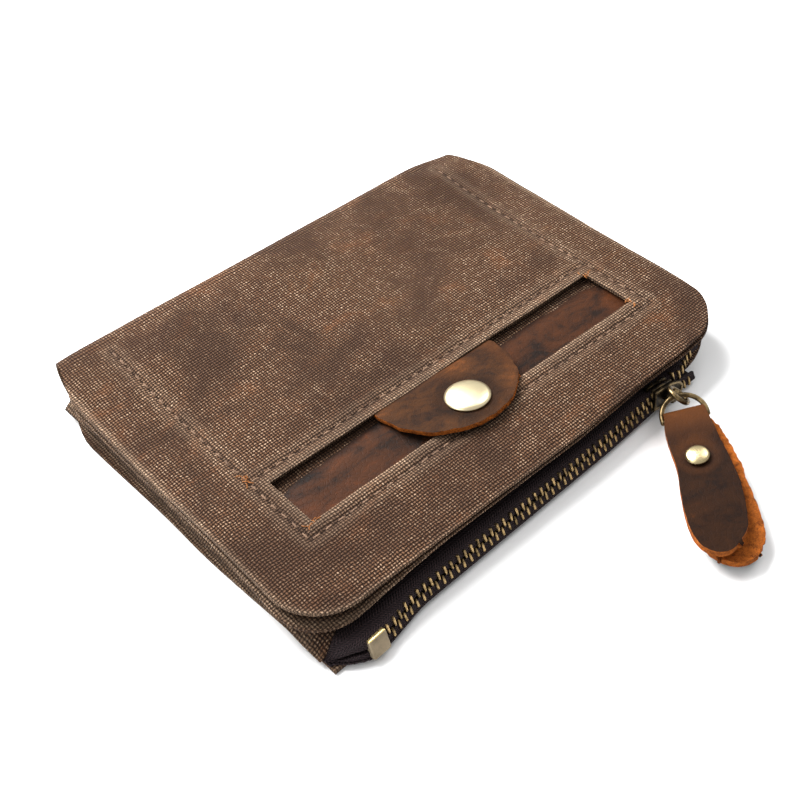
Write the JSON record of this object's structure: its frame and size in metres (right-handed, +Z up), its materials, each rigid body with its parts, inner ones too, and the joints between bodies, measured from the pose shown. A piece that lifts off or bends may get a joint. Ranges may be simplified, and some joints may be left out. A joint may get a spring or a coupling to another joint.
{
  "type": "zippered pouch",
  "caption": "Flat canvas coin pouch with a curved metal zip along the front, folded over by a pocket cover with a leather snap tab; leather pull on a wire ring.",
  "frame": {"origin": "middle of the bottom face it rests on", "axes": "+X along the zip to its closed end, +Y back to the fold, +Z up"},
  "size_m": [0.125, 0.1374, 0.0136],
  "materials": {
    "canvas": "matt waxed canvas, mottled",
    "lining": "matt cotton",
    "inner_canvas": "matt canvas",
    "tape": "matt herringbone tape",
    "thread": "waxed thread",
    "dark_leather": "oiled, satin, mottled",
    "pull_leather": "oiled, satin, worn edges",
    "brass": "antique, worn",
    "dark_brass": "darkened antique",
    "stop_brass": "antique",
    "stud_brass": "satin",
    "pale_brass": "pale gold, satin"
  },
  "bodies": {
    "pouch": {"bottom_canvas": "canvas", "bottom_lining": "lining", "top_lining": "lining", "top_canvas": "canvas", "side_seam_left": "inner_canvas", "side_seam_right": "inner_canvas", "back_seam": "inner_canvas", "tape_upper": "tape", "tape_lower": "tape", "teeth_upper": "brass", "teeth_lower": "brass", "bottom_stop": "stop_brass", "spine_canvas": "canvas"},
    "cover": {"cover_canvas": "canvas", "cover_lining": "inner_canvas", "pocket_lining": "lining", "window_leather": "dark_leather", "card_slot_back": "inner_canvas", "card_slot_front": "inner_canvas", "window_stitching": "thread", "pocket_stitching": "thread", "snap_stud": "stud_brass", "stud_rivet": "stud_brass", "tab_root": "dark_leather"},
    "tab": {"snap_tab": "dark_leather", "snap_cap": "pale_brass", "snap_socket": "stud_brass"},
    "slider": {"slider_body": "dark_brass", "slider_eye": "brass"},
    "ring": {"puller_ring": "brass"},
    "pull": {"pull_strap": "pull_leather", "rivet_cap": "pale_brass", "rivet_post": "stud_brass"}
  },
  "joints": [
    {"name": "cover_hinge", "type": "hinge", "parent": "pouch", "child": "cover", "pos_m": [0, 0.04325, 0.00525], "axis": [-1, 0, 0], "range_deg": [0, 160], "deforming": ["spine_canvas"]},
    {"name": "tab_lift", "type": "hinge", "parent": "cover", "child": "tab", "pos_m": [-0.0013, -0.01465, 0.00995], "axis": [-1, 0, 0], "range_deg": [0, 90]},
    {"name": "slider_travel", "type": "slide", "parent": "pouch", "child": "slider", "axis": [0.9994, 0.0349, 0], "range_m": [-0.076, 0], "deforming": ["teeth_upper", "teeth_lower", "tape_upper", "tape_lower"]},
    {"name": "ring_swing", "type": "hinge", "parent": "slider", "child": "ring", "pos_m": [0.03529, -0.05201, 0.00603], "axis": [-0.7942, 0.577, -0.1908], "range_deg": [0, 90]},
    {"name": "pull_swing", "type": "hinge", "parent": "ring", "child": "pull", "pos_m": [0.03254, -0.0564, 0.00419], "axis": [-0.7942, 0.577, -0.1908], "range_deg": [0, 60]}
  ]
}
